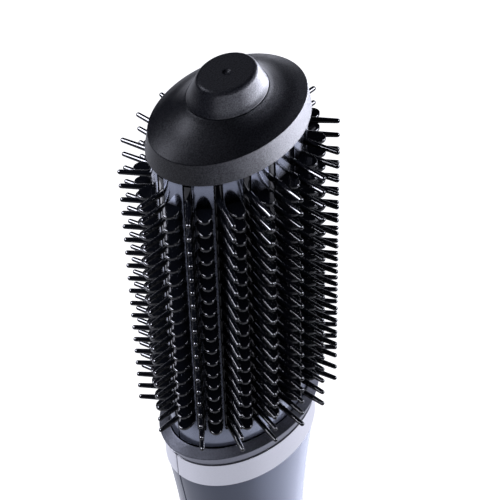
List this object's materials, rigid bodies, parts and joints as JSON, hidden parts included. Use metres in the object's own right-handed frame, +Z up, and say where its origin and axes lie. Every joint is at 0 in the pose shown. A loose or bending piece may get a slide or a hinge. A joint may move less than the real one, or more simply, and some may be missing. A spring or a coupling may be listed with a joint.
{
  "type": "hot air brush",
  "caption": "Oval hot air brush: pin and tongue bristles on a metal barrel, domed cool tip, trim ring and tapering handle with fan, heater, switches, pull-off filter cover and cord swivel.",
  "frame": {"origin": "on the handle's axis, half way along the grip, 105 mm below the trim ring", "axes": "+Z runs up the brush from the cord swivel to the cool tip, X is the long axis of the oval section, and -Y is the side of the switches"},
  "size_m": [0.0738, 0.0646, 0.4029],
  "materials": {
    "bristle_nylon": "glossy black moulded nylon",
    "handle_gunmetal": "satin gunmetal blue-grey lacquer",
    "control_black": "matte black",
    "satin_silver": "satin silver",
    "barrel_metal": "dark satin anodised aluminium",
    "cap_black": "finely textured matte black",
    "collar_grey": "finely textured dark grey",
    "inner_plastic": "plain black heat-resistant plastic",
    "mount_rubber": "black silicone rubber",
    "mica": "mica board",
    "resistance_wire": "nickel chrome alloy",
    "bright_steel": "bright steel",
    "bronze": "sintered bronze",
    "board_green": "green circuit board",
    "impeller_white": "natural nylon",
    "swivel_black": "matte black",
    "filter_steel": "woven steel mesh",
    "lamp_lens": "milky lens"
  },
  "bodies": {
    "housing": {"handle_front": "handle_gunmetal", "handle_rear": "handle_gunmetal", "handle_screws": "bright_steel", "trim_ring_front": "satin_silver", "trim_ring_rear": "satin_silver", "neck_sleeve": "inner_plastic", "barrel_collar": "collar_grey", "barrel_plate_front": "barrel_metal", "barrel_plate_rear": "barrel_metal", "air_core": "inner_plastic", "bristle_strip_01": "bristle_nylon", "bristle_strip_02": "bristle_nylon", "bristle_strip_03": "bristle_nylon", "bristle_strip_04": "bristle_nylon", "bristle_strip_05": "bristle_nylon", "bristle_strip_06": "bristle_nylon", "bristle_strip_07": "bristle_nylon", "bristle_strip_08": "bristle_nylon", "bristle_strip_09": "bristle_nylon", "bristle_strip_10": "bristle_nylon", "bristle_strip_11": "bristle_nylon", "bristle_strip_12": "bristle_nylon", "bristle_strip_13": "bristle_nylon", "bristle_strip_14": "bristle_nylon", "bristle_strip_15": "bristle_nylon", "bristle_strip_16": "bristle_nylon", "end_cap": "cap_black", "cool_tip": "cap_black", "tip_screw": "bright_steel", "heater_sleeve": "mica", "mica_cross": "mica", "heating_coils": "resistance_wire", "thermostat": "resistance_wire", "thermal_fuse": "resistance_wire", "heater_seats": "inner_plastic", "control_board": "board_green", "board_parts": "control_black", "status_lamp": "lamp_lens", "button_spring": "bright_steel", "fan_duct": "inner_plastic", "fan_mounts": "mount_rubber", "fan_stator": "inner_plastic", "motor_can": "bright_steel", "motor_bushes": "bronze", "tail_frame": "inner_plastic"},
    "fan_rotor": {"impeller": "impeller_white", "motor_shaft": "bright_steel"},
    "heat_slider": {"heat_switch": "control_black"},
    "cool_shot": {"cool_button": "control_black"},
    "swivel": {"cord_swivel": "swivel_black"},
    "intake_cover": {"filter_cover": "handle_gunmetal", "filter_mesh": "filter_steel"}
  },
  "joints": [
    {"name": "fan_spin", "type": "hinge", "parent": "housing", "child": "fan_rotor", "pos_m": [0, 0, -0.053], "axis": [0, 0, 1], "continuous": true},
    {"name": "heat_switch_slide", "type": "slide", "parent": "housing", "child": "heat_slider", "axis": [0, 0, 1], "range_m": [0, 0.008]},
    {"name": "cool_button_press", "type": "slide", "parent": "housing", "child": "cool_shot", "axis": [0, 1, 0], "range_m": [0, 0.0012], "stiffness_N_per_m": 600, "springref_m": -0.0012, "deforming": ["button_spring"]},
    {"name": "cord_swivel_turn", "type": "hinge", "parent": "housing", "child": "swivel", "pos_m": [0, 0, -0.11], "axis": [0, 0, 1], "continuous": true},
    {"name": "filter_cover_pull", "type": "slide", "parent": "housing", "child": "intake_cover", "axis": [0, 0, -1], "range_m": [0, 0.03]}
  ]
}
